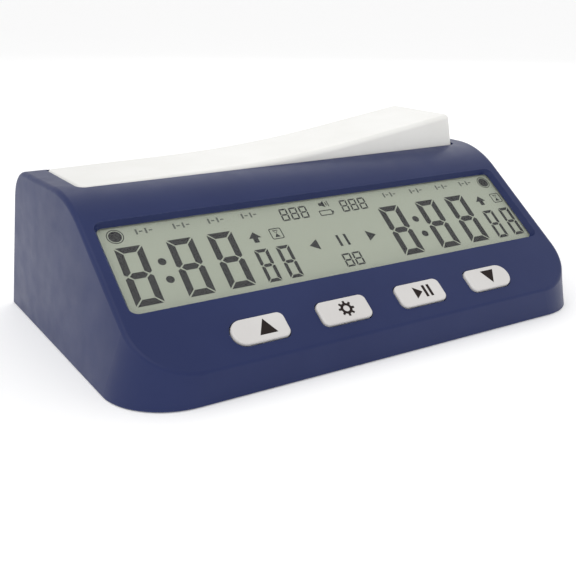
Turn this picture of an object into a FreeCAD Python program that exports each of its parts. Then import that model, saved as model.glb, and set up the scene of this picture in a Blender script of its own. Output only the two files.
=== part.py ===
import FreeCAD, Part
import math
import os
import Sketcher

# Digital chess clock: a wedge-shaped housing with a sloping display face, a rocker bar along its
# top that the players press in turn, and four keys below the display.
# Millimetres. +X is the players' right, +Y is away from the display, +Z is up. The origin is on the
# table, at the centre of the footprint.
#
# Two frames are used. The world frame stands on the table. The face frame lies on the sloping face:
# its origin is the middle of the front crease, its X is the world's, its Y climbs the slope and its
# Z points out of the face, so depths behind the face are negative.

Vector = FreeCAD.Vector
Rotation = FreeCAD.Rotation
Placement = FreeCAD.Placement
X_AXIS = Vector(1, 0, 0)
Y_AXIS = Vector(0, 1, 0)
Z_AXIS = Vector(0, 0, 1)

DIMENSIONS = {
    # Housing outline
    "crease_y": -49.5, "crease_z": 8.8, "front_foot_y": -49.6, "back_foot_y": 49.6,
    "slope_deg": 36.3, "crease_half_width": 72.6, "foot_half_width": 77.1,
    "top_z": 44.4, "back_top_y": 40.7, "skirt_z": 0.3,
    "brow_radius": 30.0, "rear_radius": 10.0, "crease_corner": 16.2, "foot_corner": 17.6,
    "edge_radius": 1.3, "wall": 2.2,
    # Rocker slot
    "slot_half_width": 67.4, "slot_front_y": 4.8, "slot_back_y": 36.2, "slot_corner": 2.8,
    # Display opening and display stack, in the face frame
    "window_half_width": 69.2, "window_low": 19.65, "window_high": 49.35, "window_corner": 2.6,
    "window_draft_deg": 30.0,
    "lens_margin": 0.7, "lens_thick": 0.5, "glass_thick": 2.2, "backing_thick": 0.5,
    "frame_wall": 1.0, "board_depth": 8.2, "board_thick": 1.6, "board_half_width": 59.5,
    "board_low": 4.2, "board_high": 51.0,
    # Keys, in the face frame
    "key_low": 4.45, "key_high": 11.9, "inner_key_near": 5.12, "inner_key_far": 20.95,
    "outer_key_near": 30.98, "outer_key_far": 46.93, "key_gap": 0.3, "key_proud": 0.8,
    "key_flange": 0.8, "key_travel": 0.8, "key_round": 1.9, "key_end_round": 3.6,
    "key_crown": 0.55, "stem_radius": 1.7, "stem_gap": 0.1, "key_switch_side": 6.0, "key_switch_high": 2.8,
    # Rocker, in its own frame: origin on the pivot axis
    "pivot_y": 20.5, "pivot_z": 34.0, "tilt_deg": 4.55, "wing_deg": 3.7,
    "rocker_depth": 30.5, "rocker_vertex": 11.2, "rocker_base": 1.0,
    "rocker_top_half": 65.8, "rocker_end_draft": 0.115, "rocker_bend": 460.0,
    "rocker_corner": 2.4, "rocker_edge": 1.5, "rocker_wall": 1.8,
    "pin_radius": 1.5, "pin_fit": 0.05, "hub_half": 4.0, "hub_length": 18.5,
    "presser_x": 9.0, "presser_side": 4.0, "presser_low": 3.0,
    # Cradle, rocker switches
    "ear_gap": 0.4, "ear_thick": 2.7, "ear_half": 5.0, "cradle_half": 13.5, "shelf_z": 23.0,
    "shelf_thick": 3.0, "switch_board_thick": 1.6, "switch_high": 6.0, "switch_side": 7.0,
    "plunger_radius": 1.6, "plunger_gap": 0.12,
    # Base and what stands on it
    "base_low": 0.6, "base_taper_deg": 32.0, "base_high": 3.0, "base_gap": 0.35,
    "foot_radius": 5.0, "boss_radius": 2.8, "screw_radius": 1.1, "screw_head": 2.3,
    "front_boss_x": 63.0, "front_boss_y": -40.0, "rear_boss_x": 66.0, "rear_boss_y": 38.0,
    # Battery bay: one AA cell lying along X, in the left half, reached from below
    "cell_radius": 7.25, "cell_length": 50.5, "cell_x": -43.0, "cell_y": 21.0, "bay_gap": 0.55,
    "contact_room": 2.2, "door_thick": 1.6, "bay_wall": 1.5, "door_gap": 0.25,
}

doc = FreeCAD.newDocument("chess_clock")
dims = doc.addObject("Spreadsheet::Sheet", "dims")
for row, (alias, number) in enumerate(DIMENSIONS.items(), start=1):
    dims.set("A%d" % row, alias)
    dims.set("B%d" % row, str(number))
    dims.setAlias("B%d" % row, alias)
doc.recompute()


def expression(text):
    """Write a formula of bare aliases as one that other objects can read."""
    words = []
    word = ""
    for sign in text + " ":
        if sign.isalnum() or sign == "_":
            word += sign
            continue
        words.append("dims." + word if word in DIMENSIONS else word)
        words.append(sign)
        word = ""
    return "".join(words).strip()


def value(text):
    """The number that a formula of aliases stands for."""
    return float(dims.evalExpression(expression(str(text))))


def bind(thing, prop, text):
    thing.setExpression(prop, expression(str(text)))


def face_placement():
    base = Vector(0, value("crease_y"), value("crease_z"))
    return Placement(base, Rotation(X_AXIS, value("slope_deg")))


FACE = face_placement()
PARTS = []


def new_body(label, placement=None):
    body = doc.addObject("PartDesign::Body", label)
    body.Label = label
    if placement:
        body.Placement = placement
    PARTS.append(body)
    return body


def new_sketch(body, role, offset=None):
    """An empty sketch on one of the body's origin planes, moved by an offset placement."""
    sketch = body.newObject("Sketcher::SketchObject", body.Label + "_sketch")
    plane = [item for item in body.Origin.OriginFeatures if item.Role == role][0]
    sketch.AttachmentSupport = [(plane, "")]
    sketch.MapMode = "FlatFace"
    if offset:
        sketch.AttachmentOffset = offset
    return sketch


def level(height):
    """The offset placement that lifts a sketch off its plane."""
    return Placement(Vector(0, 0, value(height)), Rotation())


def pin_point(sketch, line, across, up):
    """Fix a line's first point at two formulas, measured from the sketch's origin."""
    for kind, text in (("DistanceX", across), ("DistanceY", up)):
        index = sketch.addConstraint(Sketcher.Constraint(kind, -1, 1, line, 1, value(text)))
        bind(sketch, "Constraints[%d]" % index, text)


def polygon(sketch, corners):
    """A closed outline of straight edges through corners given as pairs of formulas."""
    first = sketch.GeometryCount
    points = [Vector(value(across), value(up), 0) for across, up in corners]
    for number, point in enumerate(points):
        following = points[(number + 1) % len(points)]
        sketch.addGeometry(Part.LineSegment(point, following), False)
    for number in range(len(points)):
        following = first + (number + 1) % len(points)
        sketch.addConstraint(Sketcher.Constraint("Coincident", first + number, 2, following, 1))
    for number, (across, up) in enumerate(corners):
        pin_point(sketch, first + number, across, up)


def rectangle(sketch, left, right, low, high):
    polygon(sketch, [(left, low), (right, low), (right, high), (left, high)])


def circle(sketch, across, up, radius):
    centre = Vector(value(across), value(up), 0)
    index = sketch.addGeometry(Part.Circle(centre, Z_AXIS, value(radius)), False)
    for kind, text in (("DistanceX", across), ("DistanceY", up)):
        number = sketch.addConstraint(Sketcher.Constraint(kind, -1, 1, index, 3, value(text)))
        bind(sketch, "Constraints[%d]" % number, text)
    number = sketch.addConstraint(Sketcher.Constraint("Radius", index, value(radius)))
    bind(sketch, "Constraints[%d]" % number, radius)


def pad(body, sketch, length, midplane=False, reverse=False, taper=None):
    feature = body.newObject("PartDesign::Pad", body.Label + "_pad")
    feature.Profile = sketch
    feature.Midplane = midplane
    feature.Reversed = reverse
    bind(feature, "Length", length)
    if taper:
        bind(feature, "TaperAngle", taper)
    doc.recompute()
    return feature


def pocket(body, sketch, length, midplane=False, reverse=False, taper=None):
    before = body.Shape.Volume
    feature = body.newObject("PartDesign::Pocket", body.Label + "_pocket")
    feature.Profile = sketch
    feature.Midplane = midplane
    feature.Reversed = reverse
    bind(feature, "Length", length)
    if taper:
        bind(feature, "TaperAngle", taper)
    doc.recompute()
    if body.Shape.Volume > before - 0.01:
        raise RuntimeError("a pocket in %s cuts nothing" % body.Label)
    return feature


def edges_where(shape, test):
    return ["Edge%d" % number for number, edge in enumerate(shape.Edges, start=1) if test(edge)]


def faces_where(shape, test):
    return ["Face%d" % number for number, face in enumerate(shape.Faces, start=1) if test(face)]


def fillet(body, test, radius):
    base = body.Tip
    feature = body.newObject("PartDesign::Fillet", body.Label + "_fillet")
    feature.Base = (base, edges_where(base.Shape, test))
    bind(feature, "Radius", radius)
    doc.recompute()
    return feature


def shell(body, test, wall):
    """Hollow the body to an even wall, opening the faces that the test picks."""
    base = body.Tip
    feature = body.newObject("PartDesign::Thickness", body.Label + "_shell")
    feature.Base = (base, faces_where(base.Shape, test))
    feature.Reversed = True
    feature.Join = "Intersection"
    bind(feature, "Value", wall)
    doc.recompute()
    return feature


def runs_along(edge, axis):
    """Whether an edge is straight and parallel to an axis."""
    if edge.Curve.TypeId != "Part::GeomLine":
        return False
    start, end = edge.Vertexes[0].Point, edge.Vertexes[-1].Point
    return (end - start).normalize().cross(axis).Length < 0.001


def middle(edge):
    return edge.CenterOfMass


def bar(label, placement, left, right, low, high, bottom, top):
    """A plain block as a body: its X, Y and Z limits are formulas."""
    body = new_body(label, placement)
    add_bar(body, left, right, low, high, bottom, top)
    return body


def add_bar(body, left, right, low, high, bottom, top):
    sketch = new_sketch(body, "XY_Plane", level(bottom))
    rectangle(sketch, left, right, low, high)
    pad(body, sketch, "(%s) - (%s)" % (top, bottom))


def cut_bar(body, left, right, low, high, bottom, top):
    sketch = new_sketch(body, "XY_Plane", level(bottom))
    rectangle(sketch, left, right, low, high)
    pocket(body, sketch, "(%s) - (%s)" % (top, bottom), reverse=True)


def add_posts(body, centres, radius, bottom, top):
    for across, up in centres:
        sketch = new_sketch(body, "XY_Plane", level(bottom))
        circle(sketch, across, up, radius)
        pad(body, sketch, "(%s) - (%s)" % (top, bottom))


def cut_holes(body, centres, radius, bottom, top):
    for across, up in centres:
        sketch = new_sketch(body, "XY_Plane", level(bottom))
        circle(sketch, across, up, radius)
        pocket(body, sketch, "(%s) - (%s)" % (top, bottom), reverse=True)


def group(label, shapes):
    """Several separate solids of one kind in one node."""
    feature = doc.addObject("Part::Feature", label)
    feature.Label = label
    feature.Shape = Part.makeCompound(shapes)
    PARTS.append(feature)
    return feature


# ---------------------------------------------------------------- places that pieces share

KEYS = {
    "up_button": ("-outer_key_far", "-outer_key_near"),
    "settings_button": ("-inner_key_far", "-inner_key_near"),
    "pause_button": ("inner_key_near", "inner_key_far"),
    "down_button": ("outer_key_near", "outer_key_far"),
}
KEY_MIDDLE = "(key_low + key_high) / 2"
BOARD_POSTS = [(x, KEY_MIDDLE) for x in ("-55", "-26", "26", "55")]
FRONT_BOSSES = [("-front_boss_x", "front_boss_y"), ("front_boss_x", "front_boss_y")]
REAR_BOSSES = [("-rear_boss_x", "rear_boss_y"), ("rear_boss_x", "rear_boss_y")]
BASE_BOSSES = FRONT_BOSSES + REAR_BOSSES
CRADLE_SCREWS = [("-10", "pivot_y"), ("10", "pivot_y")]
FEET = [(x, y) for x in ("-50", "50") for y in ("-37", "38")]

SHELF_TOP = "shelf_z + shelf_thick"
SWITCH_BASE = "shelf_z + shelf_thick + switch_board_thick"
WINDOW_SEAT = "wall - lens_thick"
REBATE_HALF = "window_half_width + lens_margin + 0.1"
GLASS_TOP = "-(wall + 0.05)"
GLASS_BACK = "-(wall + 0.05 + glass_thick)"
BOARD_TOP = "-board_depth"
BOARD_BACK = "-(board_depth + board_thick)"
CELL_Z = "base_low + door_thick + bay_gap + cell_radius"
BAY_LEFT = "cell_x - cell_length / 2 - contact_room"
BAY_RIGHT = "cell_x + cell_length / 2 + contact_room"
BAY_FRONT = "cell_y - cell_radius - bay_gap"
BAY_BACK = "cell_y + cell_radius + bay_gap"
BAY_ROOF = "base_low + door_thick + 2 * bay_gap + 2 * cell_radius"


# ---------------------------------------------------------------- housing

def side_walls(label, inset, floor):
    """The form that the walls follow: ruled from an outline at the foot up to the crease's."""
    body = doc.addObject("PartDesign::Body", label)
    front = "front_foot_y + %s" % inset
    depth = Placement(FACE.multVec(Vector(0, 0, -value(inset))), FACE.Rotation)
    # Where the upright front wall meets the sloping plane, as a climb from the crease.
    climb = "(%s * (1 - sin(slope_deg * 1deg))) / cos(slope_deg * 1deg)" % inset
    outlines = (
        (level(floor), "foot_half_width - %s" % inset, front, "70", "foot_corner - %s" % inset),
        (depth, "crease_half_width - %s" % inset, climb, "150", "crease_corner - %s" % inset),
    )
    sketches = []
    for offset, half, near, far, corner in outlines:
        sketch = new_sketch(body, "XY_Plane", offset)
        bullnose(sketch, half, near, far, corner)
        sketches.append(sketch)
    loft = body.newObject("PartDesign::AdditiveLoft", label + "_loft")
    loft.Profile = sketches[0]
    loft.Sections = sketches[1:]
    loft.Ruled = True
    doc.recompute()
    return body


def bullnose(sketch, half, near, far, corner):
    """A rectangle whose two near corners are rounded."""
    left, right = "-(%s) + (%s)" % (half, corner), "%s - (%s)" % (half, corner)
    level_up = "%s + (%s)" % (near, corner)
    radius = value(corner)
    for across, start in ((right, -90), (left, 180)):
        ring = Part.Circle(Vector(value(across), value(level_up), 0), Z_AXIS, radius)
        begin = math.radians(start)
        sketch.addGeometry(Part.ArcOfCircle(ring, begin, begin + math.pi / 2), False)
    far_right = Vector(value(half), value(far), 0)
    far_left = Vector(-value(half), value(far), 0)
    route = [sketch.getPoint(0, 2), far_right, far_left, sketch.getPoint(1, 1)]
    for start, end in zip(route, route[1:]):
        sketch.addGeometry(Part.LineSegment(start, end), False)
    sketch.addGeometry(Part.LineSegment(sketch.getPoint(1, 2), sketch.getPoint(0, 1)), False)
    for first, first_end, second, second_end, kind in (
            (0, 2, 2, 1, "Tangent"), (2, 2, 3, 1, "Coincident"), (3, 2, 4, 1, "Coincident"),
            (4, 2, 1, 1, "Tangent"), (1, 2, 5, 1, "Tangent"), (5, 2, 0, 1, "Tangent")):
        sketch.addConstraint(Sketcher.Constraint(kind, first, first_end, second, second_end))
    pin_point(sketch, 3, half, far)
    pin_point(sketch, 4, "-(%s)" % half, far)
    for arc, across in ((0, right), (1, left)):
        for kind, text in (("DistanceX", across), ("DistanceY", level_up)):
            index = sketch.addConstraint(Sketcher.Constraint(kind, -1, 1, arc, 3, value(text)))
            bind(sketch, "Constraints[%d]" % index, text)


def housing_form(body, inset, floor):
    """Fill a body with the housing's form, drawn in by an inset: a wedge within ruled walls."""
    profile = new_sketch(body, "YZ_Plane")
    slope = "tan(slope_deg * 1deg)"
    ceiling = "top_z - %s" % inset
    nose = "front_foot_y - 7"
    drop = "%s / cos(slope_deg * 1deg)" % inset
    lean = "(back_foot_y - back_top_y) / (top_z - skirt_z)"
    back_inset = "%s * sqrt(1 + (%s) * (%s))" % (inset, lean, lean)
    polygon(profile, [
        (nose, floor),
        (nose, "crease_z + (%s - crease_y) * %s - %s" % (nose, slope, drop)),
        ("crease_y + (%s - crease_z + %s) / %s" % (ceiling, drop, slope), ceiling),
        ("back_top_y + (top_z - (%s)) * (%s) - %s" % (ceiling, lean, back_inset), ceiling),
        ("back_foot_y + (skirt_z - (%s)) * (%s) - %s" % (floor, lean, back_inset), floor),
    ])
    pad(body, profile, "2 * foot_half_width + 20", midplane=True)
    top = value(ceiling)
    fillet(body, lambda e: runs_along(e, X_AXIS) and middle(e).z > top - 0.1 and middle(e).y < 10,
           "brow_radius - %s" % inset)
    fillet(body, lambda e: runs_along(e, X_AXIS) and middle(e).z > top - 0.1 and middle(e).y > 30,
           "rear_radius - %s" % inset)
    combine(body, side_walls(body.Name + "_walls", inset, floor), "Common")


def upper_housing():
    body = new_body("upper_housing")
    housing_form(body, "0", "skirt_z")
    low = value("crease_z")
    fillet(body, lambda e: runs_along(e, X_AXIS) and abs(middle(e).z - low) < 0.2, "edge_radius")

    cavity = doc.addObject("PartDesign::Body", "housing_cavity")
    housing_form(cavity, "wall", "skirt_z - 1")
    combine(body, cavity, "Cut")

    slot = new_sketch(body, "XY_Plane", level("top_z + 2"))
    rectangle(slot, "-slot_half_width", "slot_half_width", "slot_front_y", "slot_back_y")
    pocket(body, slot, "8")
    reach = value("slot_half_width")
    fillet(body, lambda e: abs(abs(middle(e).x) - reach) < 0.01 and runs_along(e, Z_AXIS),
           "slot_corner")

    # The display opening narrows as it goes in, which leaves a bevel around the glass. Behind it
    # a shallow rebate takes the thin window.
    opening = new_sketch(body, "XY_Plane", FACE)
    rounded_rectangle(opening, "-window_half_width", "window_half_width", "window_low",
                      "window_high", "window_corner", "window_corner")
    pocket(body, opening, "wall + 0.05", taper="-window_draft_deg")
    seat = Placement(FACE.multVec(Vector(0, 0, -value(WINDOW_SEAT))), FACE.Rotation)
    rebate = new_sketch(body, "XY_Plane", seat)
    rectangle(rebate, "-(%s)" % REBATE_HALF, REBATE_HALF, "window_low - lens_margin - 0.1",
              "window_high + lens_margin + 0.1")
    pocket(body, rebate, "lens_thick + 0.1")

    for left, right in KEYS.values():
        hole = new_sketch(body, "XY_Plane", FACE)
        key_outline(hole, left, right, "key_gap")
        pocket(body, hole, "wall + 0.5")

    for across, up in BOARD_POSTS:
        add_face_post(body, across, up)
    add_base_bosses(body)
    return body


def combine(body, tool, kind):
    """Cut another body's form out of this one, or keep only what is common to both."""
    before = body.Shape.Volume
    merged = body.newObject("PartDesign::Boolean", body.Label + "_" + kind.lower())
    merged.Type = kind
    merged.setObjects([tool])
    doc.recompute()
    if not 0.01 < body.Shape.Volume < before - 0.01:
        raise RuntimeError("combining %s changed nothing" % body.Label)


def rounded_rectangle(sketch, left, right, low, high, left_round, right_round):
    """A rectangle with round corners. The two ends may have different radii."""
    # Each corner: its centre, its radius and the angle at which its quarter circle starts.
    corners = [
        ("%s - (%s)" % (right, right_round), "%s + (%s)" % (low, right_round), right_round, -90),
        ("%s - (%s)" % (right, right_round), "%s - (%s)" % (high, right_round), right_round, 0),
        ("%s + (%s)" % (left, left_round), "%s - (%s)" % (high, left_round), left_round, 90),
        ("%s + (%s)" % (left, left_round), "%s + (%s)" % (low, left_round), left_round, 180),
    ]
    for across, up, radius, start in corners:
        ring = Part.Circle(Vector(value(across), value(up), 0), Z_AXIS, value(radius))
        begin = math.radians(start)
        sketch.addGeometry(Part.ArcOfCircle(ring, begin, begin + math.pi / 2), False)
    for arc in range(4):
        following = (arc + 1) % 4
        start = sketch.getPoint(arc, 2)
        line = sketch.addGeometry(Part.LineSegment(start, sketch.getPoint(following, 1)), False)
        sketch.addConstraint(Sketcher.Constraint("Tangent", arc, 2, line, 1))
        sketch.addConstraint(Sketcher.Constraint("Tangent", line, 2, following, 1))
    for arc, (across, up, radius, start) in enumerate(corners):
        for kind, text in (("DistanceX", across), ("DistanceY", up)):
            index = sketch.addConstraint(Sketcher.Constraint(kind, -1, 1, arc, 3, value(text)))
            bind(sketch, "Constraints[%d]" % index, text)
        index = sketch.addConstraint(Sketcher.Constraint("Radius", arc, value(radius)))
        bind(sketch, "Constraints[%d]" % index, radius)


def key_outline(sketch, left, right, grow):
    """A key's outline, grown by a margin. An outer key's far end is half round."""
    rounds = ["key_end_round" if abs(value(side)) > 40 else "key_round" for side in (left, right)]
    rounded_rectangle(sketch, "%s - %s" % (left, grow), "%s + %s" % (right, grow),
                      "key_low - %s" % grow, "key_high + %s" % grow,
                      "%s + %s" % (rounds[0], grow), "%s + %s" % (rounds[1], grow))


def add_face_post(body, across, up):
    """A post for a board screw, square to the sloping wall and drilled from behind."""
    behind = Placement(FACE.multVec(Vector(0, 0, value(BOARD_TOP))), FACE.Rotation)
    post = new_sketch(body, "XY_Plane", behind)
    circle(post, across, up, "2.5")
    pad(body, post, "board_depth - wall + 0.4")
    hole = new_sketch(body, "XY_Plane", behind)
    circle(hole, across, up, "screw_radius + 0.05")
    pocket(body, hole, "5.5", reverse=True)


def add_base_bosses(body):
    """Screw bosses over the base: the front pair meets the slope, the rear pair has ribs."""
    add_posts(body, FRONT_BOSSES, "boss_radius", "base_high", "13")
    add_posts(body, REAR_BOSSES, "boss_radius", "base_high", "26")
    add_bar(body, "rear_boss_x", "74.8", "rear_boss_y - 0.8", "rear_boss_y + 0.8",
            "base_high", "26")
    add_bar(body, "-74.8", "-rear_boss_x", "rear_boss_y - 0.8", "rear_boss_y + 0.8",
            "base_high", "26")
    cut_holes(body, BASE_BOSSES, "screw_radius + 0.05", "base_high", "base_high + 8.5")


# ---------------------------------------------------------------- base, door, feet, screws

def base_cover():
    """The floor plate, with the battery bay standing on it and a post for the right bumper."""
    body = new_body("base_cover")
    outline = new_sketch(body, "XY_Plane", level("base_low"))
    inset = "(wall + base_gap + 0.25)"
    bullnose(outline, "foot_half_width - %s" % inset, "front_foot_y + %s" % inset,
             "back_foot_y - %s - 0.6" % inset, "foot_corner - %s" % inset)
    pad(body, outline, "base_high - base_low", taper="-base_taper_deg")

    add_bar(body, "%s - bay_wall" % BAY_LEFT, "%s + bay_wall" % BAY_RIGHT,
            "%s - bay_wall" % BAY_FRONT, "%s + bay_wall" % BAY_BACK,
            "base_high", "%s + bay_wall" % BAY_ROOF)
    cut_bar(body, BAY_LEFT, BAY_RIGHT, BAY_FRONT, BAY_BACK, "base_low - 1", BAY_ROOF)
    add_bar(body, "59", "67", "pivot_y - 5", "pivot_y + 5", "base_high", "%s + bay_wall" % BAY_ROOF)
    # Slots in the end walls for the two contacts.
    for side in (BAY_LEFT, BAY_RIGHT):
        cut_bar(body, "%s - bay_wall - 1" % side, "%s + bay_wall + 1" % side,
                "cell_y - 1", "cell_y + 1", "%s + 5" % CELL_Z, "%s + 6.6" % CELL_Z)

    cut_holes(body, BASE_BOSSES, "screw_radius + 0.25", "base_low - 1", "base_high + 1")
    cut_holes(body, BASE_BOSSES, "screw_head + 0.2", "base_low - 1", "base_low + 1.25")
    cut_holes(body, CRADLE_SCREWS, "screw_radius + 0.05", "base_low + 0.4", "base_high + 1")
    cut_holes(body, FEET, "foot_radius + 0.1", "base_low - 1", "base_low + 0.6")
    cut_bar(body, "39", "50", "20.2", "24.8", "base_low - 1", "base_high + 1")
    return body


def battery_door():
    """A plate in the mouth of the battery bay, with a finger groove."""
    body = bar("battery_door", None, "%s + door_gap" % BAY_LEFT, "%s - door_gap" % BAY_RIGHT,
               "%s + door_gap" % BAY_FRONT, "%s - door_gap" % BAY_BACK,
               "base_low", "base_low + door_thick")
    for step in range(4):
        near = "%s + %g" % (BAY_LEFT, 4 + 2 * step)
        cut_bar(body, near, "%s + 0.9" % near, "cell_y - 4", "cell_y + 4",
                "base_low - 1", "base_low + 0.5")
    return body


def screw(head_radius, head_thick, length):
    """A pan-head screw with a cross recess. Its head sits on Z = 0 and its shank goes up."""
    head = Part.makeCylinder(value(head_radius), head_thick, Vector(0, 0, -head_thick))
    rim = [e for e in head.Edges if abs(e.CenterOfMass.z + head_thick) < 0.01
           and e.Curve.TypeId == "Part::GeomCircle"]
    head = head.makeFillet(0.35 * head_thick, rim)
    shank = Part.makeCylinder(value("screw_radius"), length - 1, Vector(0, 0, 0))
    tip = Part.makeCone(value("screw_radius"), 0.3, 1, Vector(0, 0, length - 1))
    body = head.fuse(shank).fuse(tip).removeSplitter()
    depth = 0.6 * head_thick
    arm = 1.3 * value(head_radius)
    for angle in (0, 90):
        blade = Part.makeBox(arm, 0.6, depth, Vector(-arm / 2, -0.3, -head_thick))
        blade.rotate(Vector(), Z_AXIS, angle)
        body = body.cut(blade)
    return body


def placed(shape, placement):
    copy = shape.copy()
    copy.Placement = placement.multiply(copy.Placement)
    return copy


def screws(label, centres, height, head_thick, length, frame=None, turned=False):
    """A group of equal screws. A turned one drives down instead of up."""
    shapes = []
    for across, up in centres:
        turn = Rotation(X_AXIS, 180 if turned else 0)
        spot = Placement(Vector(value(across), value(up), value(height)), turn)
        whole = frame.multiply(spot) if frame else spot
        shapes.append(placed(screw("screw_head", head_thick, length), whole))
    group(label, shapes)


def rubber_feet():
    shapes = []
    for across, up in FEET:
        centre = Vector(value(across), value(up), 0)
        disc = Part.makeCylinder(value("foot_radius"), value("base_low") + 0.6, centre)
        rim = [e for e in disc.Edges if abs(e.CenterOfMass.z) < 0.01
               and e.Curve.TypeId == "Part::GeomCircle"]
        shapes.append(disc.makeFillet(0.4, rim))
    group("rubber_feet", shapes)


# ---------------------------------------------------------------- display and board

def display_stack():
    """Window in its rebate, glass and reflector behind it, and the frame that holds them."""
    half = "window_half_width + lens_margin"
    low = "window_low - lens_margin"
    high = "window_high + lens_margin"
    lens = bar("display_window", FACE, "-(%s)" % half, half, low, high, "-wall",
               "-(%s)" % WINDOW_SEAT)
    fillet(lens, lambda e: runs_along(e, Z_AXIS), "1")

    bar("lcd_glass", FACE, "-(%s - 1.1)" % half, "%s - 1.1" % half, "%s + 0.1" % low,
        "%s - 0.1" % high, GLASS_BACK, GLASS_TOP)
    bar("lcd_reflector", FACE, "-(%s - 1.6)" % half, "%s - 1.6" % half, "%s + 2.6" % low,
        "%s - 0.4" % high, "%s - backing_thick" % GLASS_BACK, GLASS_BACK)

    frame = bar("lcd_frame", FACE, "-(%s)" % half, half, "%s - 1.2" % low, "%s + 1.2" % high,
                BOARD_TOP, "-(wall + 0.02)")
    cut_bar(frame, "-(%s - 1)" % half, "%s - 1" % half, low, high, "%s - 1" % BOARD_TOP, "0")
    bar("contact_strip", FACE, "-57", "57", "%s + 0.4" % low, "%s + 2.2" % low,
        BOARD_TOP, GLASS_BACK)


def main_board():
    board = bar("main_board", FACE, "-board_half_width", "board_half_width", "board_low",
                "board_high", BOARD_BACK, BOARD_TOP)
    cut_holes(board, BOARD_POSTS, "screw_radius + 0.2", "%s - 1" % BOARD_BACK, "0")
    chip = bar("controller_chip", FACE, "-6", "6", "28", "40", "%s - 1.9" % BOARD_BACK, BOARD_BACK)
    fillet(chip, lambda e: runs_along(e, Z_AXIS), "0.6")
    crystal = bar("quartz_crystal", FACE, "14", "22", "30", "33.2", "%s - 3" % BOARD_BACK,
                  BOARD_BACK)
    fillet(crystal, lambda e: runs_along(e, Z_AXIS), "1.4")
    screws("board_screws", BOARD_POSTS, BOARD_BACK, 1.2, 6, frame=FACE)


def buzzer():
    body = new_body("buzzer")
    add_posts(body, [("46", "-4")], "10", "base_high", "base_high + 4")
    add_posts(body, [("46", "-4")], "7.5", "base_high + 4", "base_high + 4.8")
    cut_holes(body, [("46", "-4")], "1.2", "base_high + 3", "base_high + 6")


# ---------------------------------------------------------------- keys

def key(label, left, right):
    """A key cap that stands through the wall, with a flange behind it that keeps it in."""
    body = new_body(label, FACE)
    for grow, bottom, top in (("key_flange", "-(wall + 1.2)", "-(wall + 0.2)"),
                              ("0", "-(wall + 0.2)", "key_proud")):
        outline = new_sketch(body, "XY_Plane", level(bottom))
        key_outline(outline, left, right, grow)
        pad(body, outline, "(%s) - (%s)" % (top, bottom))
    crown = value("key_proud")
    fillet(body, lambda e: abs(middle(e).z - crown) < 0.01, "key_crown")

    stem = new_body(label.replace("_button", "_key_stem"), FACE)
    add_posts(stem, [("(%s + %s) / 2" % (left, right), KEY_MIDDLE)], "stem_radius",
              "-board_depth + 0.9 + key_travel", "-(wall + 1.2)")


def key_switches():
    shapes = []
    side = value("key_switch_side")
    foot = value(BOARD_TOP)
    for left, right in KEYS.values():
        centre_x = value("(%s + %s) / 2" % (left, right))
        centre_y = value(KEY_MIDDLE)
        corner = Vector(centre_x - side / 2, centre_y - side / 2, foot)
        case = Part.makeBox(side, side, value("key_switch_high"), corner)
        case = case.makeFillet(0.6, [e for e in case.Edges if runs_along(e, Z_AXIS)])
        seat = Vector(centre_x, centre_y, foot + 0.6)
        bore = value("stem_radius + stem_gap")
        shapes.append(placed(case.cut(Part.makeCylinder(bore, 5, seat)), FACE))
    group("key_switches", shapes)


# ---------------------------------------------------------------- rocker and what it presses

PIVOT = Placement(Vector(0, value("pivot_y"), value("pivot_z")),
                  Rotation(Y_AXIS, -value("tilt_deg")))


def rocker_outline(sketch):
    """Two straight wings that rise from a wide bend, over drafted ends and a flat foot."""
    end_top = "rocker_vertex + rocker_top_half * tan(wing_deg * 1deg)"
    end_base = "rocker_top_half + (%s - rocker_base) * rocker_end_draft" % end_top
    bend_z = "rocker_vertex + rocker_bend / cos(wing_deg * 1deg)"
    ring = Part.Circle(Vector(0, value(bend_z), 0), Z_AXIS, value("rocker_bend"))
    down = -math.pi / 2
    wing = math.radians(value("wing_deg"))
    bend = sketch.addGeometry(Part.ArcOfCircle(ring, down - wing, down + wing), False)
    corners = [("rocker_top_half", end_top), (end_base, "rocker_base"),
               ("-(%s)" % end_base, "rocker_base"), ("-rocker_top_half", end_top)]
    points = [Vector(value(across), value(up), 0) for across, up in corners]
    route = [sketch.getPoint(bend, 2)] + points + [sketch.getPoint(bend, 1)]
    for start, end in zip(route, route[1:]):
        sketch.addGeometry(Part.LineSegment(start, end), False)
    for line, (across, up) in enumerate(corners, start=bend + 1):
        sketch.addConstraint(Sketcher.Constraint("Coincident", line, 2, line + 1, 1))
        pin_point(sketch, line + 1, across, up)
    last = bend + len(corners) + 1
    sketch.addConstraint(Sketcher.Constraint("Tangent", bend, 2, bend + 1, 1))
    sketch.addConstraint(Sketcher.Constraint("Tangent", last, 2, bend, 1))
    for kind, text in (("DistanceX", "0"), ("DistanceY", bend_z)):
        index = sketch.addConstraint(Sketcher.Constraint(kind, -1, 1, bend, 3, value(text)))
        bind(sketch, "Constraints[%d]" % index, text)
    index = sketch.addConstraint(Sketcher.Constraint("Radius", bend, value("rocker_bend")))
    bind(sketch, "Constraints[%d]" % index, "rocker_bend")


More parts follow.
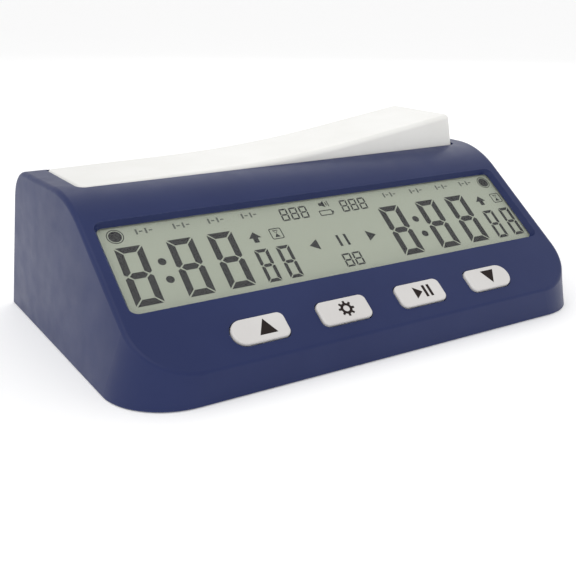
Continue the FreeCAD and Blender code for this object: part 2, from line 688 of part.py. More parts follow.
def rocker():
    """A hollow bar with two rising wings, level about its pivot and then tipped to rest."""
    body = new_body("rocker", PIVOT)
    outline = new_sketch(body, "XZ_Plane")
    rocker_outline(outline)
    pad(body, outline, "rocker_depth", midplane=True)
    reach = value("rocker_top_half")
    half = value("rocker_depth") / 2
    fillet(body, lambda e: abs(abs(middle(e).y) - half) < 0.01 and abs(middle(e).x) > reach,
           "rocker_corner")
    ridge = value("rocker_vertex")
    fillet(body, lambda e: abs(abs(middle(e).y) - half) < 0.01 and middle(e).z > ridge - 2
           and abs(middle(e).x) < reach - 3, "rocker_edge")
    floor = value("rocker_base")
    shell(body, lambda f: abs(f.CenterOfMass.z - floor) < 0.01, "rocker_wall")

    add_bar(body, "-hub_half", "hub_half", "-hub_length / 2", "hub_length / 2", "-4",
            "rocker_vertex + 0.2")
    for side in ("-presser_x", "presser_x"):
        add_bar(body, "%s - presser_side / 2" % side, "%s + presser_side / 2" % side,
                "-presser_side / 2", "presser_side / 2", "presser_low", "rocker_vertex + 0.2")
    bore = new_sketch(body, "XZ_Plane")
    circle(bore, "0", "0", "pin_radius + pin_fit")
    pocket(body, bore, "rocker_depth - 4", midplane=True)
    return body


def pivot_pin():
    body = new_body("rocker_pivot_pin", Placement(PIVOT.Base, Rotation()))
    outline = new_sketch(body, "XZ_Plane")
    circle(outline, "0", "0", "pin_radius")
    pad(body, outline, "hub_length + 2 * ear_gap + 2 * ear_thick + 1", midplane=True)
    fillet(body, lambda e: e.Curve.TypeId == "Part::GeomCircle", "0.3")


def cradle():
    """A stand on the base: a foot, two ears that hold the pin, and a shelf for the switches."""
    body = new_body("rocker_cradle")
    near = "pivot_y - hub_length / 2 - ear_gap"
    far = "pivot_y + hub_length / 2 + ear_gap"
    add_bar(body, "-cradle_half", "cradle_half", "%s - ear_thick" % near, "%s + ear_thick" % far,
            "base_high", "base_high + 2.5")
    for low, high in (("%s - ear_thick" % near, near), (far, "%s + ear_thick" % far)):
        ear = new_sketch(body, "XZ_Plane", Placement(Vector(0, 0, -value(high)), Rotation()))
        polygon(ear, [("-cradle_half", "base_high + 1"), ("cradle_half", "base_high + 1"),
                      ("cradle_half", "%s" % SHELF_TOP), ("ear_half", "pivot_z + 1"),
                      ("ear_half", "pivot_z + 3.5"), ("-ear_half", "pivot_z + 3.5"),
                      ("-ear_half", "pivot_z + 1"), ("-cradle_half", "%s" % SHELF_TOP)])
        pad(body, ear, "ear_thick")
    add_bar(body, "-cradle_half", "cradle_half", near, far, "shelf_z", SHELF_TOP)
    bore = new_sketch(body, "XZ_Plane", Placement(Vector(0, 0, -value("pivot_y")), Rotation()))
    circle(bore, "0", "pivot_z", "pin_radius")
    pocket(body, bore, "40", midplane=True)
    cut_holes(body, CRADLE_SCREWS, "screw_radius + 0.2", "base_high - 1", "base_high + 5")
    screws("cradle_screws", CRADLE_SCREWS, "base_high + 2.5", 1.4, 4.3, turned=True)
    return body


def rocker_switches():
    """One plunger switch under each side of the rocker, on a small board on the cradle."""
    bar("switch_board", None, "-13", "13", "pivot_y - 7", "pivot_y + 7", SHELF_TOP, SWITCH_BASE)
    tilt = math.radians(value("tilt_deg"))
    for name, sign in (("left", -1), ("right", 1)):
        centre = "%d * presser_x" % sign
        case = bar(name + "_switch", None, "%s - switch_side / 2" % centre,
                   "%s + switch_side / 2" % centre, "pivot_y - switch_side / 2",
                   "pivot_y + switch_side / 2", SWITCH_BASE, "%s + switch_high" % SWITCH_BASE)
        fillet(case, lambda e: runs_along(e, Z_AXIS), "0.7")
        cut_holes(case, [(centre, "pivot_y")], "plunger_radius + 0.15", "%s + 1.5" % SWITCH_BASE,
                  "%s + 20" % SWITCH_BASE)
        # The presser's lowest corner at rest sets how high its plunger stands.
        lift = sign * value("presser_x") * math.sin(tilt)
        lean = value("presser_side") / 2 * math.sin(tilt)
        face = value("pivot_z + presser_low") + lift - lean
        plunger = new_body(name + "_plunger")
        add_posts(plunger, [(centre, "pivot_y")], "plunger_radius", "%s + 3.3" % SWITCH_BASE,
                  "%g - plunger_gap" % face)


def rocker_bumpers():
    """Rubber blocks under the two ends of the rocker, on the bay's roof and on the post."""
    foot = value("%s + bay_wall" % BAY_ROOF)
    low_end = PIVOT.multVec(Vector(-value("rocker_top_half"), 0, value("rocker_base")))
    shapes = []
    for near in (-65.5, 60.5):
        corner = Vector(near, value("pivot_y") - 4, foot)
        block = Part.makeBox(5, 8, low_end.z - 0.4 - foot, corner)
        shapes.append(block.makeFillet(0.5, [e for e in block.Edges if runs_along(e, Z_AXIS)]))
    group("rocker_bumpers", shapes)


# ---------------------------------------------------------------- power

def battery():
    body = new_body("battery_cell")
    outline = new_sketch(body, "YZ_Plane", Placement(Vector(0, 0, value("cell_x")), Rotation()))
    circle(outline, "cell_y", CELL_Z, "cell_radius")
    pad(body, outline, "cell_length - 2", midplane=True)
    fillet(body, lambda e: e.Curve.TypeId == "Part::GeomCircle", "0.8")
    nub = new_sketch(body, "YZ_Plane",
                     Placement(Vector(0, 0, value("cell_x + cell_length / 2 - 1.2")), Rotation()))
    circle(nub, "cell_y", CELL_Z, "2.75")
    pad(body, nub, "1.2")


def battery_contacts():
    """Bent strips at the two ends of the bay: each has a tail that goes up through the slot."""
    strip = 0.4
    height = value(CELL_Z)
    for label, side, sign in (("positive_contact", BAY_RIGHT, -1), ("negative_contact", BAY_LEFT, 1)):
        wall_x = value(side)
        bulge = 1.4 if sign < 0 else 2.4
        body = new_body(label)
        outline = new_sketch(body, "XZ_Plane",
                             Placement(Vector(0, 0, -value("cell_y")), Rotation()))
        near = wall_x + sign * 0.15
        crest = wall_x + sign * bulge
        corners = contact_outline(near, crest, sign, strip, height)
        polygon(outline, [("%g" % x, "%g" % z) for x, z in corners])
        pad(body, outline, "1.8", midplane=True)


def contact_outline(near, crest, sign, strip, height):
    """Up the wall's face, out to the crest that touches the cell, back, and out by the slot."""
    out = sign * strip
    return [
        (near, height - 6), (near + out, height - 6), (crest + out / 2, height),
        (near + out, height + 5.2 + strip), (near - 8 * out, height + 5.2 + strip),
        (near - 8 * out, height + 5.2), (near, height + 5.2), (crest - out / 2, height),
    ]


def power_switch():
    bar("power_switch", None, "38", "51", "19.5", "25.5", "base_high", "base_high + 4")
    slider = bar("power_slider", None, "39.5", "45", "20.6", "24.4", "base_low + 0.3",
                 "base_high - 0.1")
    for step in range(3):
        near = "%g" % (40.6 + 1.3 * step)
        cut_bar(slider, near, "%s + 0.6" % near, "20", "25", "base_low - 1", "base_low + 0.7")


def build():
    upper_housing()
    base_cover()
    battery_door()
    screws("base_screws", BASE_BOSSES, "base_low + 1.25", 1.2, 8.5)
    rubber_feet()
    display_stack()
    main_board()
    buzzer()
    for label, (left, right) in KEYS.items():
        key(label, left, right)
    key_switches()
    rocker()
    pivot_pin()
    cradle()
    rocker_switches()
    rocker_bumpers()
    battery()
    battery_contacts()
    power_switch()


def check():
    doc.recompute()
    for item in doc.Objects:
        if "Invalid" in item.State or "Error" in item.State:
            raise RuntimeError("%s failed: %s" % (item.Name, item.State))
    for part in PARTS:
        if part.Shape.isNull() or not part.Shape.isValid():
            raise RuntimeError("%s has no valid shape" % part.Label)


build()
check()
os.makedirs("parts", exist_ok=True)
for part in PARTS:
    part.Shape.exportStep("parts/%s.step" % part.Label)
    box = part.Shape.BoundBox
    print("%-18s %2d solid(s) %8.1f mm3  x %.2f..%.2f  y %.2f..%.2f  z %.2f..%.2f" % (
        part.Label, len(part.Shape.Solids), part.Shape.Volume,
        box.XMin, box.XMax, box.YMin, box.YMax, box.ZMin, box.ZMax))
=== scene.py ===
import math

import bmesh
import bpy
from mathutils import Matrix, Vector


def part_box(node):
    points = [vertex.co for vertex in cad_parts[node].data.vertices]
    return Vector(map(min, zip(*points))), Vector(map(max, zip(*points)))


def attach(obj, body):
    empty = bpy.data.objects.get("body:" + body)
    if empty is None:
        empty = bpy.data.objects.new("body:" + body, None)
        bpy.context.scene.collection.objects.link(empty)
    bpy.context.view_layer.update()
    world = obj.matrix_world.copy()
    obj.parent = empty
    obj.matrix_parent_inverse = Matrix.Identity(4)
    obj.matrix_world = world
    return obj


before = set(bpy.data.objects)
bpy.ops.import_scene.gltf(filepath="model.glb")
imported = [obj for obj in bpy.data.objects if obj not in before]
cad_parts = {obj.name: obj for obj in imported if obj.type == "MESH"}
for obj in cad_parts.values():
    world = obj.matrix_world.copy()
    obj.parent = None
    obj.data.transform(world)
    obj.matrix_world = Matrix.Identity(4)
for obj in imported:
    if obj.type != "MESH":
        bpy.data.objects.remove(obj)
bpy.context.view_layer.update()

# The chess clock's looks. Metres, in the CAD frame. The "face frame" used below lies on the
# sloping face: u runs along +X, v climbs the slope from the front crease, n points out of the face.

MM = 0.001
SLOPE = math.radians(36.3)
CREASE = Vector((0, -49.5, 8.8)) * MM
U = Vector((1, 0, 0))
V = Vector((0, math.cos(SLOPE), math.sin(SLOPE)))
N = Vector((0, -math.sin(SLOPE), math.cos(SLOPE)))
LCD_DEPTH = -2.25
READINGS_SHIFT = (-1.1, -0.95)
PLAYER_PITCH = 84.4
KEY_TOP = 0.8

# The four sizes of digit on the display, in millimetres.
LARGE_DIGIT = dict(width=7.6, height=18.8, stroke=1.95, gap=0.34)
SMALL_DIGIT = dict(width=4.25, height=11.2, stroke=1.05, gap=0.24)
COUNTER_DIGIT = dict(width=2.6, height=4.5, stroke=0.5, gap=0.14, lean=0.06)
MODE_DIGIT = dict(width=2.9, height=4.7, stroke=0.55, gap=0.14)


# ---------------------------------------------------------------- materials

class Nodes:
    """A small helper that builds one material's node tree around a Principled shader."""

    def __init__(self, name):
        self.material = bpy.data.materials.new(name)
        self.material.use_nodes = True
        self.tree = self.material.node_tree
        self.shader = self.tree.nodes["Principled BSDF"]
        self.coords = self.tree.nodes.new("ShaderNodeTexCoord")

    def add(self, kind, **settings):
        node = self.tree.nodes.new(kind)
        for name, setting in settings.items():
            setattr(node, name, setting)
        return node

    def link(self, start, end):
        self.tree.links.new(start, end)

    def set(self, **sockets):
        for name, number in sockets.items():
            self.shader.inputs[name.replace("_", " ")].default_value = number

    def noise(self, scale, detail=3.0, roughness=0.5, stretch=None):
        node = self.add("ShaderNodeTexNoise")
        node.inputs["Scale"].default_value = scale
        node.inputs["Detail"].default_value = detail
        node.inputs["Roughness"].default_value = roughness
        source = self.coords.outputs["Object"]
        if stretch:
            mapping = self.add("ShaderNodeMapping")
            mapping.inputs["Scale"].default_value = stretch
            self.link(source, mapping.inputs["Vector"])
            source = mapping.outputs["Vector"]
        self.link(source, node.inputs["Vector"])
        return node.outputs["Fac"]

    def ramp(self, source, low, high, start, end):
        """Remap a 0..1 value to start..end between two thresholds."""
        node = self.add("ShaderNodeMapRange")
        for name, number in (("From Min", low), ("From Max", high), ("To Min", start),
                             ("To Max", end)):
            node.inputs[name].default_value = number
        self.link(source, node.inputs["Value"])
        return node.outputs["Result"]

    def blend_colours(self, factor, first, second):
        node = self.add("ShaderNodeMix", data_type="RGBA")
        self.link(factor, node.inputs["Factor"])
        for socket, colour in (("A", first), ("B", second)):
            target = next(item for item in node.inputs
                          if item.name == socket and item.type == "RGBA")
            if isinstance(colour, tuple):
                target.default_value = (*colour, 1)
            else:
                self.link(colour, target)
        return next(item for item in node.outputs if item.type == "RGBA")

    def bump(self, height, strength, distance):
        node = self.add("ShaderNodeBump")
        node.inputs["Strength"].default_value = strength
        node.inputs["Distance"].default_value = distance
        self.link(height, node.inputs["Height"])
        return node.outputs["Normal"]

    def edge_mask(self, radius):
        """1 on sharp edges and corners, 0 on flats: how far a bevelled normal leans away."""
        bevel = self.add("ShaderNodeBevel", samples=4)
        bevel.inputs["Radius"].default_value = radius
        geometry = self.add("ShaderNodeNewGeometry")
        dot = self.add("ShaderNodeVectorMath", operation="DOT_PRODUCT")
        self.link(bevel.outputs["Normal"], dot.inputs[0])
        self.link(geometry.outputs["Normal"], dot.inputs[1])
        return self.ramp(dot.outputs["Value"], 0.75, 0.99, 1.0, 0.0)


def moulded(name, colour, shade, roughness=0.42, grain=9000, grain_depth=0.00002, worn=None,
            specular=0.5):
    """Moulded plastic: a fine spark-eroded grain, faint cloudy tone and paler rubbed edges."""
    nodes = Nodes(name)
    cloud = nodes.ramp(nodes.noise(45, 4), 0.35, 0.65, 0.0, 1.0)
    tone = nodes.blend_colours(cloud, colour, shade)
    if worn:
        mask = nodes.edge_mask(0.0005)
        patchy = nodes.add("ShaderNodeMath", operation="MULTIPLY")
        nodes.link(mask, patchy.inputs[0])
        nodes.link(nodes.ramp(nodes.noise(900, 2), 0.35, 0.75, 0.0, 0.5), patchy.inputs[1])
        tone = nodes.blend_colours(patchy.outputs["Value"], tone, worn)
    nodes.link(tone, nodes.shader.inputs["Base Color"])
    gloss = nodes.ramp(nodes.noise(160, 5), 0.3, 0.7, roughness - 0.04, roughness + 0.05)
    nodes.link(gloss, nodes.shader.inputs["Roughness"])
    nodes.link(nodes.bump(nodes.noise(grain, 2), 0.35, grain_depth), nodes.shader.inputs["Normal"])
    nodes.set(Specular_IOR_Level=specular)
    return nodes.material


def metal(name, colour, shade, roughness=0.28, brushed=None):
    nodes = Nodes(name)
    scratches = nodes.noise(800, 4, stretch=brushed or (1, 1, 1))
    tone = nodes.blend_colours(nodes.ramp(scratches, 0.3, 0.7, 0.0, 1.0), colour, shade)
    nodes.link(tone, nodes.shader.inputs["Base Color"])
    gloss = nodes.ramp(scratches, 0.3, 0.7, roughness - 0.06, roughness + 0.12)
    nodes.link(gloss, nodes.shader.inputs["Roughness"])
    nodes.link(nodes.bump(scratches, 0.25, 0.00001), nodes.shader.inputs["Normal"])
    nodes.set(Metallic=1.0)
    return nodes.material


def rubber(name, colour, shade):
    nodes = Nodes(name)
    speckle = nodes.noise(2200, 3)
    nodes.link(nodes.blend_colours(nodes.ramp(speckle, 0.35, 0.65, 0.0, 1.0), colour, shade),
               nodes.shader.inputs["Base Color"])
    nodes.link(nodes.ramp(speckle, 0.3, 0.7, 0.62, 0.8), nodes.shader.inputs["Roughness"])
    nodes.link(nodes.bump(speckle, 0.4, 0.00003), nodes.shader.inputs["Normal"])
    return nodes.material


def circuit_board(name):
    """Green solder mask with the faint relief of tracks under it."""
    nodes = Nodes(name)
    tracks = nodes.add("ShaderNodeTexBrick")
    tracks.inputs["Scale"].default_value = 260
    tracks.inputs["Mortar Size"].default_value = 0.06
    nodes.link(nodes.coords.outputs["Object"], tracks.inputs["Vector"])
    nodes.link(nodes.blend_colours(tracks.outputs["Fac"], (0.01, 0.1, 0.035), (0.02, 0.2, 0.07)),
               nodes.shader.inputs["Base Color"])
    nodes.link(nodes.bump(tracks.outputs["Fac"], 0.3, 0.00003), nodes.shader.inputs["Normal"])
    nodes.set(Roughness=0.3, Coat_Weight=0.4)
    return nodes.material


def lcd_panel(name):
    """The grey-green polariser: a satin film with a slow tone shift and a very fine weave."""
    nodes = Nodes(name)
    cloud = nodes.ramp(nodes.noise(14, 2), 0.3, 0.7, 0.0, 1.0)
    nodes.link(nodes.blend_colours(cloud, (0.315, 0.345, 0.27), (0.34, 0.37, 0.29)),
               nodes.shader.inputs["Base Color"])
    fine = nodes.noise(5200, 2)
    nodes.link(nodes.ramp(fine, 0.3, 0.7, 0.42, 0.55), nodes.shader.inputs["Roughness"])
    nodes.link(nodes.bump(fine, 0.2, 0.00001), nodes.shader.inputs["Normal"])
    return nodes.material


def clear_window(name):
    """Thin acrylic: mostly see-through, with its own soft reflection and faint smudges."""
    nodes = Nodes(name)
    smudge = nodes.noise(70, 4)
    nodes.link(nodes.ramp(smudge, 0.4, 0.75, 0.06, 0.2), nodes.shader.inputs["Roughness"])
    nodes.link(nodes.blend_colours(smudge, (0.9, 0.94, 0.92), (1.0, 1.0, 1.0)),
               nodes.shader.inputs["Base Color"])
    nodes.set(Alpha=0.03, IOR=1.49)
    return nodes.material


def ink(name, colour):
    """Printed or liquid-crystal black: nearly flat, with a little mottling."""
    nodes = Nodes(name)
    mottle = nodes.noise(700, 3)
    pale = tuple(min(1.0, channel + 0.006) for channel in colour)
    nodes.link(nodes.blend_colours(mottle, colour, pale), nodes.shader.inputs["Base Color"])
    nodes.link(nodes.ramp(mottle, 0.3, 0.7, 0.6, 0.75), nodes.shader.inputs["Roughness"])
    nodes.set(Specular_IOR_Level=0.05)
    return nodes.material


def cell_film(name):
    """The cell's jacket: a dark film with a copper-coloured band at its positive end."""
    nodes = Nodes(name)
    place = nodes.add("ShaderNodeSeparateXYZ")
    nodes.link(nodes.coords.outputs["Object"], place.inputs["Vector"])
    low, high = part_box("battery_cell")
    band = nodes.ramp(place.outputs["X"], high[0] - 0.0145, high[0] - 0.014, 0.0, 1.0)
    nodes.link(nodes.blend_colours(band, (0.02, 0.02, 0.025), (0.55, 0.25, 0.1)),
               nodes.shader.inputs["Base Color"])
    nodes.link(nodes.ramp(nodes.noise(300, 3), 0.3, 0.7, 0.2, 0.34),
               nodes.shader.inputs["Roughness"])
    nodes.set(Coat_Weight=0.5)
    return nodes.material


def make_materials():
    navy = dict(colour=(0.010, 0.019, 0.085), shade=(0.013, 0.023, 0.094), specular=0.28)
    return {
        "navy": moulded("navy_moulded", roughness=0.38, worn=(0.09, 0.11, 0.22), **navy),
        "navy_base": moulded("navy_base_moulded", roughness=0.5, worn=(0.08, 0.1, 0.2), **navy),
        "white": moulded("white_moulded", (0.80, 0.795, 0.765), (0.83, 0.825, 0.80), 0.4,
                         worn=(0.9, 0.9, 0.88)),
        "key": moulded("key_moulded", (0.62, 0.60, 0.585), (0.66, 0.645, 0.63), 0.36,
                       worn=(0.75, 0.74, 0.72)),
        "black": moulded("black_moulded", (0.012, 0.012, 0.014), (0.02, 0.02, 0.022), 0.5),
        "natural": moulded("natural_moulded", (0.6, 0.59, 0.55), (0.66, 0.65, 0.6), 0.45),
        "chip": moulded("chip_resin", (0.01, 0.01, 0.01), (0.016, 0.016, 0.016), 0.7),
        "steel": metal("zinc_steel", (0.62, 0.62, 0.6), (0.48, 0.48, 0.47)),
        "nickel": metal("nickel_strip", (0.72, 0.7, 0.66), (0.6, 0.58, 0.54), 0.22, (6, 1, 1)),
        "foil": metal("reflector_film", (0.75, 0.76, 0.74), (0.66, 0.67, 0.65), 0.35, (1, 9, 9)),
        "grey_rubber": rubber("grey_elastomer", (0.12, 0.12, 0.125), (0.17, 0.17, 0.175)),
        "black_rubber": rubber("black_elastomer", (0.012, 0.012, 0.012), (0.03, 0.03, 0.03)),
        "board": circuit_board("solder_mask"),
        "lcd": lcd_panel("lcd_polariser"),
        "window": clear_window("clear_acrylic"),
        "segment": ink("lcd_segment_black", (0.006, 0.006, 0.007)),
        "faint": ink("lcd_mark_grey", (0.09, 0.1, 0.085)),
        "print": ink("key_print_black", (0.022, 0.016, 0.015)),
        "cell": cell_film("cell_jacket"),
    }


MATERIALS = make_materials()
NODE_LOOKS = {
    "navy": ["upper_housing"],
    "navy_base": ["base_cover", "battery_door"],
    "white": ["rocker"],
    "key": ["up_button", "settings_button", "pause_button", "down_button"],
    "natural": ["up_key_stem", "settings_key_stem", "pause_key_stem", "down_key_stem",
                "rocker_cradle", "left_plunger", "right_plunger"],
    "black": ["lcd_frame", "buzzer", "key_switches", "left_switch", "right_switch",
              "power_switch", "power_slider"],
    "chip": ["controller_chip"],
    "steel": ["base_screws", "board_screws", "cradle_screws", "quartz_crystal",
              "rocker_pivot_pin"],
    "nickel": ["positive_contact", "negative_contact"],
    "foil": ["lcd_reflector"],
    "grey_rubber": ["contact_strip", "rocker_bumpers"],
    "black_rubber": ["rubber_feet"],
    "board": ["main_board", "switch_board"],
    "lcd": ["lcd_glass"],
    "window": ["display_window"],
    "cell": ["battery_cell"],
}


def dress_nodes():
    for look, names in NODE_LOOKS.items():
        for name in names:
            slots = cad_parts[name].data.materials
            for index in range(len(slots)):
                slots[index] = MATERIALS[look]


# ---------------------------------------------------------------- flat marks on the face

def face_point(u, v, n):
    return CREASE + (U * u + V * v + N * n) * MM


class Marks:
    """Thin flat shapes on one plane of the face frame, gathered into one mesh."""

    THICK = 0.02

    def __init__(self, depth, shift=(0.0, 0.0)):
        self.depth = depth
        self.across, self.up = shift
        self.mesh = bmesh.new()

    def shape(self, outline, holes=()):
        """A plate with the given outline, in millimetres of u and v, and optional holes."""
        flat = bmesh.new()
        loops = [outline] + list(holes)
        for loop in loops:
            corners = [flat.verts.new(face_point(u + self.across, v + self.up, self.depth))
                       for u, v in loop]
            for number, corner in enumerate(corners):
                flat.edges.new((corner, corners[(number + 1) % len(corners)]))
        bmesh.ops.triangle_fill(flat, use_beauty=True, use_dissolve=False, edges=flat.edges[:],
                                normal=N)
        for face in flat.faces:
            if face.normal.dot(N) < 0:
                face.normal_flip()
        raised = bmesh.ops.extrude_face_region(flat, geom=flat.faces[:])
        lifted = [item for item in raised["geom"] if isinstance(item, bmesh.types.BMVert)]
        bmesh.ops.translate(flat, verts=lifted, vec=N * (self.THICK * MM))
        bmesh.ops.recalc_face_normals(flat, faces=flat.faces[:])
        plate = bpy.data.meshes.new("plate")
        flat.to_mesh(plate)
        flat.free()
        self.mesh.from_mesh(plate)
        bpy.data.meshes.remove(plate)

    def piece(self, name, look, body):
        data = bpy.data.meshes.new(name)
        self.mesh.to_mesh(data)
        self.mesh.free()
        data.materials.append(MATERIALS[look])
        thing = bpy.data.objects.new(name, data)
        bpy.context.collection.objects.link(thing)
        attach(thing, body)
        return thing


def ring_points(u, v, radius, count=32, start=0.0):
    turn = 2 * math.pi / count
    return [(u + radius * math.cos(start + turn * step), v + radius * math.sin(start + turn * step))
            for step in range(count)]


def box_points(left, low, right, high):
    return [(left, low), (right, low), (right, high), (left, high)]


def rounded_box(left, low, right, high, radius, steps=5):
    points = []
    corners = [(right - radius, low + radius, -90), (right - radius, high - radius, 0),
               (left + radius, high - radius, 90), (left + radius, low + radius, 180)]
    for u, v, start in corners:
        for step in range(steps + 1):
            angle = math.radians(start + 90 * step / steps)
            points.append((u + radius * math.cos(angle), v + radius * math.sin(angle)))
    return points


def segment_shapes(width, height, stroke, gap):
    """The seven bars of a digit standing on (0, 0), with mitred ends and a gap between bars."""
    half = height / 2
    g = gap / 2
    s = stroke
    m = s / 2
    top = [(2 * g, height), (width - 2 * g, height), (width - s - g, height - s),
           (s + g, height - s)]
    left_up = [(0, height - 2 * g), (s, height - s - 2 * g), (s, half + m + g),
               (m * 0.75, half + g), (0, half + m * 0.6 + g)]
    middle = [(m + g * 2, half), (s + g * 2, half + m), (width - s - g * 2, half + m),
              (width - m - g * 2, half), (width - s - g * 2, half - m), (s + g * 2, half - m)]
    mirror_u = [(width - u, v) for u, v in left_up]
    mirror_v = [(u, height - v) for u, v in left_up]
    mirror_both = [(width - u, height - v) for u, v in left_up]
    bottom = [(u, height - v) for u, v in top]
    return [top, left_up, mirror_u, middle, mirror_v, mirror_both, bottom]


def digit(marks, left, low, width, height, stroke, gap, lean=0.03):
    for bar in segment_shapes(width, height, stroke, gap):
        marks.shape([(left + u + lean * v, low + v) for u, v in bar])


def arrow(marks, u, v, size):
    marks.shape([(u - 0.5 * size, v), (u + 0.5 * size, v), (u, v + 0.55 * size)])
    marks.shape(box_points(u - 0.2 * size, v - 0.42 * size, u + 0.2 * size, v - 0.01))


def hourglass(marks, u, v):
    """An hourglass in a rounded square outline."""
    half = 1.95
    marks.shape(rounded_box(u - half, v - half, u + half, v + half, 0.6),
                [rounded_box(u - half + 0.28, v - half + 0.28, u + half - 0.28, v + half - 0.28,
                             0.4)[::-1]])
    marks.shape([(u - 0.85, v - 1.2), (u + 0.85, v - 1.2), (u, v + 0.05)])
    marks.shape([(u - 0.85, v + 1.25), (u - 0.85, v + 1.0), (u + 0.85, v + 1.0),
                 (u + 0.85, v + 1.25)])
    for side in (-1, 1):
        marks.shape([(u + side * 0.75, v + 0.9), (u + side * 0.55, v + 0.9), (u, v + 0.2),
                     (u + side * 0.08, v + 0.1)])


def player_side(marks, shift):
    """One player's readings: three large digits, a colon, two small digits and two symbols."""
    for left in (-64.9, -50.5, -38.6):
        digit(marks, left + shift, 23.9, **LARGE_DIGIT)
    for v in (30.4, 36.3):
        marks.shape(ring_points(-53.35 + shift, v, 1.15, 20))
    for left in (-27.2, -20.3):
        digit(marks, left + shift, 23.7, **SMALL_DIGIT)
    arrow(marks, -24.4 + shift, 38.9, 3.9)
    hourglass(marks, -17.4 + shift, 39.3)


def disc_in_ring(marks, u, v):
    marks.shape(ring_points(u, v, 2.35, 40), [ring_points(u, v, 2.1, 40)[::-1]])
    marks.shape(ring_points(u, v, 1.8, 32))


def centre_readings(marks):
    for left in (-13.2, -9.9, -6.6, 7.9, 11.2, 14.5):
        digit(marks, left, 43.1, **COUNTER_DIGIT)
    for left in (-1.4, 2.1):
        digit(marks, left, 23.8, **MODE_DIGIT)
    marks.shape([(-9.4, 33.2), (-6.4, 31.3), (-6.4, 35.1)])
    marks.shape([(13.9, 33.2), (10.9, 31.3), (10.9, 35.1)])
    for u in (0.8, 3.4):
        marks.shape(box_points(u - 0.42, 31.2, u + 0.42, 35.3))
    # Loudspeaker
    marks.shape(box_points(0.9, 46.6, 1.7, 47.7))
    marks.shape([(1.75, 46.6), (2.8, 45.9), (2.8, 48.4), (1.75, 47.7)])
    for u, half in ((3.4, 0.7), (4.1, 1.1)):
        marks.shape(box_points(u - 0.14, 47.15 - half, u + 0.14, 47.15 + half))
    # Battery outline
    marks.shape(rounded_box(-0.3, 42.9, 4.2, 44.9, 0.35),
                [rounded_box(0.0, 43.2, 3.9, 44.6, 0.2)[::-1]])
    marks.shape(box_points(4.25, 43.5, 4.7, 44.3))


def plain_labels(marks):
    """Eight neutral tick pairs along the top edge, where the display carries small captions."""
    for u in (-54.6, -43.8, -33.4, -22.9, 27.1, 37.7, 48.3, 58.5):
        for offset, low, high in ((-2.2, 46.2, 48.0), (-1.2, 46.9, 47.3), (0.5, 46.2, 48.0),
                                  (1.6, 46.9, 47.3)):
            width = 0.55 if high - low > 1 else 1.0
            marks.shape(box_points(u + offset, low, u + offset + width, high))


def lcd_marks():
    dark = Marks(LCD_DEPTH + 0.02, READINGS_SHIFT)
    player_side(dark, 0.0)
    player_side(dark, PLAYER_PITCH)
    disc_in_ring(dark, -62.6, 46.5)
    disc_in_ring(dark, 66.3, 46.3)
    centre_readings(dark)
    dark.piece("lcd_segments", "segment", "housing")
    faint = Marks(LCD_DEPTH + 0.02, READINGS_SHIFT)
    plain_labels(faint)
    faint.piece("lcd_captions", "faint", "housing")


def gear_points(u, v, inner, outer, teeth=8):
    points = []
    step = 2 * math.pi / teeth
    for tooth in range(teeth):
        middle = tooth * step
        for part, radius in ((-0.27, inner), (-0.17, outer), (0.17, outer), (0.27, inner)):
            angle = middle + part * step
            points.append((u + radius * math.cos(angle), v + radius * math.sin(angle)))
    return points


def key_symbols():
    """The printed symbols: each is a list of outlines, with the holes in each of them."""
    gear = gear_points(-12.5, 8.25, 1.75, 2.45)
    symbols = {
        "up": [([(-39.9, 6.1), (-34.7, 6.1), (-37.3, 10.7)], [])],
        "settings": [(gear, [ring_points(-12.5, 8.25, 0.95, 24)[::-1]])],
        "pause": [([(10.9, 10.2), (10.9, 6.3), (13.6, 8.25)], []),
                  (box_points(14.15, 6.3, 15.05, 10.2), []),
                  (box_points(15.85, 6.3, 16.75, 10.2), [])],
        "down": [([(37.0, 10.5), (41.9, 10.5), (39.4, 6.0)], [])],
    }
    for key, outlines in symbols.items():
        marks = Marks(KEY_TOP + 0.01)
        for outline, holes in outlines:
            marks.shape(outline, holes)
        marks.piece(key + "_symbol", "print", key + "_button")


# ---------------------------------------------------------------- studio

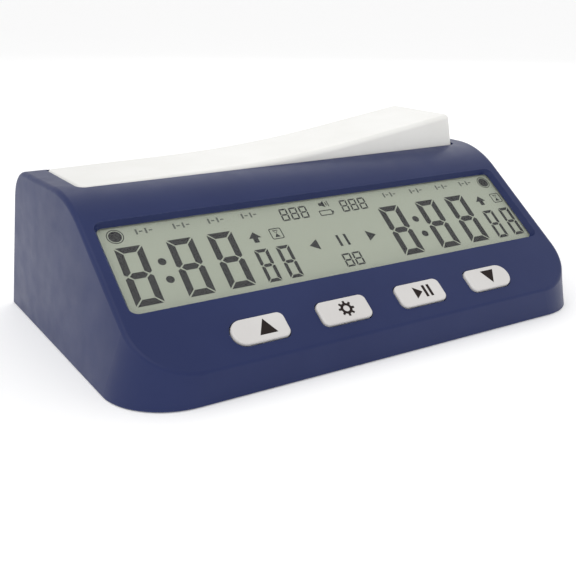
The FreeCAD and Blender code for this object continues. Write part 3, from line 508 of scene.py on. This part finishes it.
def floor():
    data = bpy.data.meshes.new("floor")
    reach = 40.0  # metres, so that its edge lies at the horizon
    data.from_pydata([(-reach, -reach, 0), (reach, -reach, 0), (reach, reach, 0),
                      (-reach, reach, 0)], [], [(0, 1, 2, 3)])
    nodes = Nodes("floor_paper")
    nodes.link(nodes.blend_colours(nodes.noise(3, 2), (0.93, 0.93, 0.93), (0.95, 0.95, 0.95)),
               nodes.shader.inputs["Base Color"])
    nodes.set(Roughness=0.9, Emission_Color=(1, 1, 1, 1), Emission_Strength=0.15)
    data.materials.append(nodes.material)
    thing = bpy.data.objects.new("floor", data)
    bpy.context.collection.objects.link(thing)


def soft_box(name, place, target, size, power, tint=(1, 1, 1)):
    lamp = bpy.data.lights.new(name, "AREA")
    lamp.shape = "RECTANGLE"
    lamp.size, lamp.size_y = size
    lamp.energy = power
    lamp.color = tint
    thing = bpy.data.objects.new(name, lamp)
    thing.location = place
    thing.rotation_euler = (Vector(target) - Vector(place)).to_track_quat("-Z", "Y").to_euler()
    bpy.context.collection.objects.link(thing)


def studio():
    world = bpy.data.worlds.new("studio")
    world.use_nodes = True
    sky = world.node_tree.nodes["Background"]
    sky.inputs["Color"].default_value = (1, 1, 1, 1)
    sky.inputs["Strength"].default_value = 0.85
    bpy.context.scene.world = world
    centre = (0, 0, 0.02)
    soft_box("key_light", (-0.35, -0.25, 0.75), centre, (0.7, 0.7), 1.5)
    soft_box("left_panel", (-0.8, 0.0, 0.25), centre, (0.7, 0.5), 0.6)
    soft_box("right_back_panel", (0.55, 0.6, 0.5), centre, (0.8, 0.5), 0.9)
    bpy.context.scene.view_settings.view_transform = "Standard"


def camera():
    """The view: from the front left and above, at about 0.27 m."""
    data = bpy.data.cameras.new("camera")
    data.sensor_width = 36
    data.lens = 53.77
    data.clip_start = 0.01
    thing = bpy.data.objects.new("camera", data)
    yaw, pitch = math.radians(31.74), math.radians(18.97)
    ahead = Vector((math.sin(yaw) * math.cos(pitch), math.cos(yaw) * math.cos(pitch),
                    -math.sin(pitch)))
    thing.location = (-0.1386, -0.2176, 0.0938)
    thing.rotation_euler = ahead.to_track_quat("-Z", "Y").to_euler()
    bpy.context.collection.objects.link(thing)
    bpy.context.scene.camera = thing


camera()
dress_nodes()
lcd_marks()
key_symbols()
floor()
studio()
